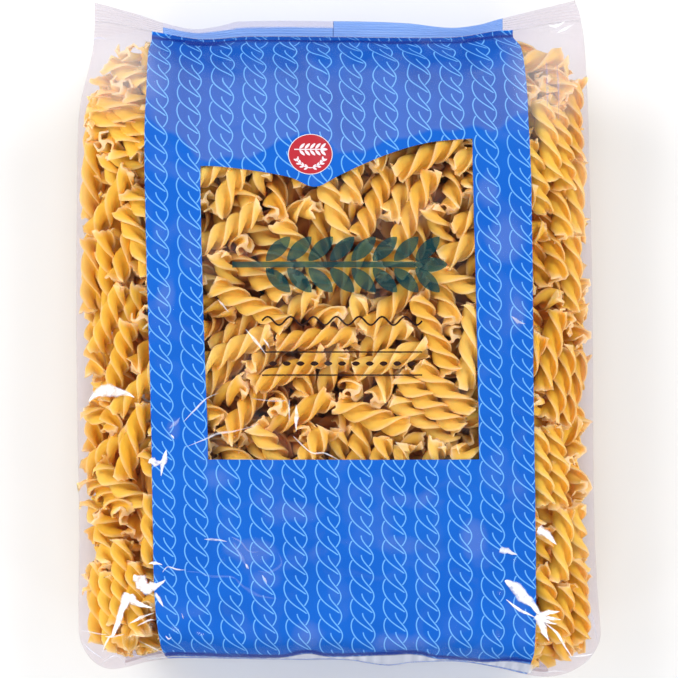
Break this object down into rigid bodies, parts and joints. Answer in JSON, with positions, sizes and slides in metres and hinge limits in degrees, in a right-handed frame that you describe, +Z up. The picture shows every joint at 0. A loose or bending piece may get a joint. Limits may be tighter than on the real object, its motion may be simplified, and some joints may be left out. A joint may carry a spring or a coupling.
{
  "type": "pasta packet",
  "caption": "Sealed clear film bag of dry spiral pasta, lying on its back, with a wide printed blue panel that has a clear window and a crimped seal across the top.",
  "frame": {"origin": "middle of the bag's outline, on the surface that the bag lies on", "axes": "+Y from the bottom of the bag to its sealed top, +Z up out of the printed front, +X to the right of the front seen with the sealed top up"},
  "size_m": [0.2196, 0.2812, 0.0699],
  "materials": {
    "printed_film": "reverse-printed polypropylene film, glossy, blue with pale blue line ornament",
    "clear_film": "clear oriented polypropylene film, glossy, a little milky where it is creased",
    "pasta": "dry durum wheat pasta, extruded, satin to matt, golden yellow"
  },
  "bodies": {
    "root": {"bag": "printed_film"}
  },
  "joints": []
}
